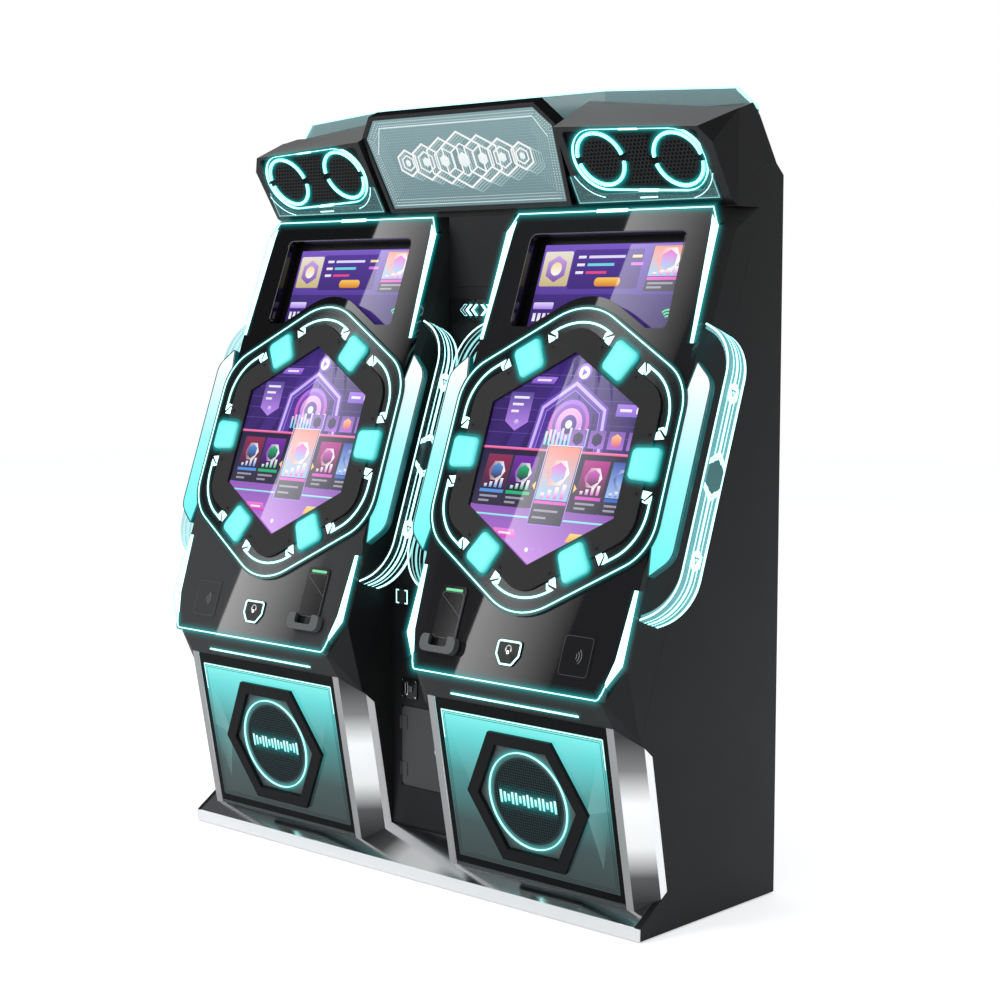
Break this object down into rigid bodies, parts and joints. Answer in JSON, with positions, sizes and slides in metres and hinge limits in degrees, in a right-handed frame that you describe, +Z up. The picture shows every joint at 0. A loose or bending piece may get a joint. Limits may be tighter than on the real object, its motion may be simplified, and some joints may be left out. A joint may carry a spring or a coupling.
{
  "type": "rhythm arcade machine",
  "caption": "Upright two-player rhythm arcade cabinet: leaning screens ringed by lit push buttons, hand rails, lit pedestals, speaker header and coin column.",
  "frame": {"origin": "on the floor, at the middle of the overall width and depth", "axes": "+X to the right as the players see it, +Y to the rear, +Z up"},
  "size_m": [2.016, 0.7182, 2.244],
  "materials": {
    "plinth_board": "raw plywood, stained dark",
    "polished_sheet": "polished folded sheet",
    "zinc_steel": "zinc plated",
    "charcoal_board": "charcoal laminate on board",
    "bright_chrome": "bright plated",
    "pod_grey": "fine moulded texture",
    "clear_teal": "tinted clear acrylic",
    "black_gloss": "high gloss black",
    "marquee_sheet": "lit diffuser sheet",
    "column_grey": "satin charcoal paint",
    "door_steel": "satin grey paint",
    "red_plastic": "gloss red",
    "bare_steel": "bare folded steel",
    "ring_grey": "satin dark grey",
    "display_black": "display behind black glass",
    "white_light": "lit white cyan diffuser",
    "cyan_light": "lit cyan diffuser",
    "dark_plastic": "moulded black",
    "rail_grey": "grey teal printed band",
    "panel_cyan": "lit cyan acrylic",
    "cone_black": "paper cone and black basket",
    "grille_dark": "pierced sheet",
    "case_grey": "equipment cases"
  },
  "bodies": {
    "cabinet": {"base_frame": "plinth_board", "kick_plate": "polished_sheet", "side_panels": "charcoal_board", "rear_panel": "charcoal_board", "header_shell": "charcoal_board", "speaker_pods": "pod_grey", "pod_lips": "clear_teal", "marquee_frame": "black_gloss", "marquee_panel": "marquee_sheet", "crown_light": "clear_teal", "centre_column": "column_grey", "chevron_light": "white_light", "readers": "black_gloss", "coin_plates": "door_steel", "cash_box": "bare_steel", "console_shells": "charcoal_board", "face_panels": "black_gloss", "button_rings": "ring_grey", "main_screens": "display_black", "top_screens": "display_black", "face_lights": "white_light", "button_switches": "dark_plastic", "wing_lights": "cyan_light", "side_rails": "rail_grey", "phone_cradles": "dark_plastic", "headphone_jacks": "dark_plastic", "pedestals": "charcoal_board", "pedestal_light_panels": "panel_cyan", "pedestal_hex_frames": "black_gloss", "pedestal_cheeks": "bright_chrome", "speaker_drivers": "cone_black", "speaker_grilles": "grille_dark", "ring_lights": "white_light", "electronics_modules": "case_grey", "cooling_fan_frame": "dark_plastic", "power_inlet": "dark_plastic"},
    "foot_front_left": {"foot_front_left": "zinc_steel"},
    "foot_front_right": {"foot_front_right": "zinc_steel"},
    "foot_rear_left": {"foot_rear_left": "zinc_steel"},
    "foot_rear_right": {"foot_rear_right": "zinc_steel"},
    "left_button_0": {"left_button_0": "cyan_light"},
    "left_button_1": {"left_button_1": "cyan_light"},
    "left_button_2": {"left_button_2": "cyan_light"},
    "left_button_3": {"left_button_3": "cyan_light"},
    "left_button_4": {"left_button_4": "cyan_light"},
    "left_button_5": {"left_button_5": "cyan_light"},
    "right_button_0": {"right_button_0": "cyan_light"},
    "right_button_1": {"right_button_1": "cyan_light"},
    "right_button_2": {"right_button_2": "cyan_light"},
    "right_button_3": {"right_button_3": "cyan_light"},
    "right_button_4": {"right_button_4": "cyan_light"},
    "right_button_5": {"right_button_5": "cyan_light"},
    "rear_door": {"rear_door": "charcoal_board"},
    "rear_door_lock": {"rear_door_lock": "bright_chrome"},
    "coin_door": {"coin_door": "door_steel"},
    "coin_door_lock": {"coin_door_lock": "bright_chrome"},
    "left_coin_reject": {"left_coin_reject": "red_plastic"},
    "right_coin_reject": {"right_coin_reject": "red_plastic"},
    "cooling_fan_rotor": {"cooling_fan_rotor": "dark_plastic"},
    "power_switch": {"power_switch": "red_plastic"}
  },
  "joints": [
    {"name": "foot_front_left_turn", "type": "hinge", "parent": "cabinet", "child": "foot_front_left", "pos_m": [-0.78, -0.19, 0.02], "axis": [0, 0, 1], "continuous": true},
    {"name": "foot_front_right_turn", "type": "hinge", "parent": "cabinet", "child": "foot_front_right", "pos_m": [0.78, -0.19, 0.02], "axis": [0, 0, 1], "continuous": true},
    {"name": "foot_rear_left_turn", "type": "hinge", "parent": "cabinet", "child": "foot_rear_left", "pos_m": [-0.78, 0.285, 0.02], "axis": [0, 0, 1], "continuous": true},
    {"name": "foot_rear_right_turn", "type": "hinge", "parent": "cabinet", "child": "foot_rear_right", "pos_m": [0.78, 0.285, 0.02], "axis": [0, 0, 1], "continuous": true},
    {"name": "rear_door_swing", "type": "hinge", "parent": "cabinet", "child": "rear_door", "pos_m": [-0.35, 0.356, 0.668], "axis": [0, 0, 1], "range_deg": [0, 110]},
    {"name": "rear_lock_turn", "type": "hinge", "parent": "rear_door", "child": "rear_door_lock", "pos_m": [0.316, 0.335, 0.668], "axis": [0, 1, 0], "range_deg": [0, 90]},
    {"name": "coin_door_swing", "type": "hinge", "parent": "cabinet", "child": "coin_door", "pos_m": [-0.09, -0.13, 0.354], "axis": [0, 0, -1], "range_deg": [0, 100]},
    {"name": "coin_lock_turn", "type": "hinge", "parent": "coin_door", "child": "coin_door_lock", "pos_m": [0.062, -0.12, 0.354], "axis": [0, 1, 0], "range_deg": [0, 90]},
    {"name": "left_coin_reject_press", "type": "slide", "parent": "cabinet", "child": "left_coin_reject", "axis": [0, 1, 0], "range_m": [0, 0.003], "stiffness_N_per_m": 800, "springref_m": -0.003},
    {"name": "right_coin_reject_press", "type": "slide", "parent": "cabinet", "child": "right_coin_reject", "axis": [0, 1, 0], "range_m": [0, 0.003], "stiffness_N_per_m": 800, "springref_m": -0.003},
    {"name": "left_button_0_press", "type": "slide", "parent": "cabinet", "child": "left_button_0", "axis": [0, 0.9409, -0.3387], "range_m": [0, 0.004], "stiffness_N_per_m": 2000, "springref_m": -0.003},
    {"name": "left_button_1_press", "type": "slide", "parent": "cabinet", "child": "left_button_1", "axis": [0, 0.9409, -0.3387], "range_m": [0, 0.004], "stiffness_N_per_m": 2000, "springref_m": -0.003},
    {"name": "left_button_2_press", "type": "slide", "parent": "cabinet", "child": "left_button_2", "axis": [0, 0.9409, -0.3387], "range_m": [0, 0.004], "stiffness_N_per_m": 2000, "springref_m": -0.003},
    {"name": "left_button_3_press", "type": "slide", "parent": "cabinet", "child": "left_button_3", "axis": [0, 0.9409, -0.3387], "range_m": [0, 0.004], "stiffness_N_per_m": 2000, "springref_m": -0.003},
    {"name": "left_button_4_press", "type": "slide", "parent": "cabinet", "child": "left_button_4", "axis": [0, 0.9409, -0.3387], "range_m": [0, 0.004], "stiffness_N_per_m": 2000, "springref_m": -0.003},
    {"name": "left_button_5_press", "type": "slide", "parent": "cabinet", "child": "left_button_5", "axis": [0, 0.9409, -0.3387], "range_m": [0, 0.004], "stiffness_N_per_m": 2000, "springref_m": -0.003},
    {"name": "right_button_0_press", "type": "slide", "parent": "cabinet", "child": "right_button_0", "axis": [0, 0.9409, -0.3387], "range_m": [0, 0.004], "stiffness_N_per_m": 2000, "springref_m": -0.003},
    {"name": "right_button_1_press", "type": "slide", "parent": "cabinet", "child": "right_button_1", "axis": [0, 0.9409, -0.3387], "range_m": [0, 0.004], "stiffness_N_per_m": 2000, "springref_m": -0.003},
    {"name": "right_button_2_press", "type": "slide", "parent": "cabinet", "child": "right_button_2", "axis": [0, 0.9409, -0.3387], "range_m": [0, 0.004], "stiffness_N_per_m": 2000, "springref_m": -0.003},
    {"name": "right_button_3_press", "type": "slide", "parent": "cabinet", "child": "right_button_3", "axis": [0, 0.9409, -0.3387], "range_m": [0, 0.004], "stiffness_N_per_m": 2000, "springref_m": -0.003},
    {"name": "right_button_4_press", "type": "slide", "parent": "cabinet", "child": "right_button_4", "axis": [0, 0.9409, -0.3387], "range_m": [0, 0.004], "stiffness_N_per_m": 2000, "springref_m": -0.003},
    {"name": "right_button_5_press", "type": "slide", "parent": "cabinet", "child": "right_button_5", "axis": [0, 0.9409, -0.3387], "range_m": [0, 0.004], "stiffness_N_per_m": 2000, "springref_m": -0.003},
    {"name": "fan_spin", "type": "hinge", "parent": "cabinet", "child": "cooling_fan_rotor", "pos_m": [0, 0.323, 1.62], "axis": [0, 1, 0], "continuous": true},
    {"name": "power_switch_rock", "type": "hinge", "parent": "cabinet", "child": "power_switch", "pos_m": [0.665, 0.351, 0.138], "axis": [1, 0, 0], "range_deg": [-8, 8]}
  ]
}
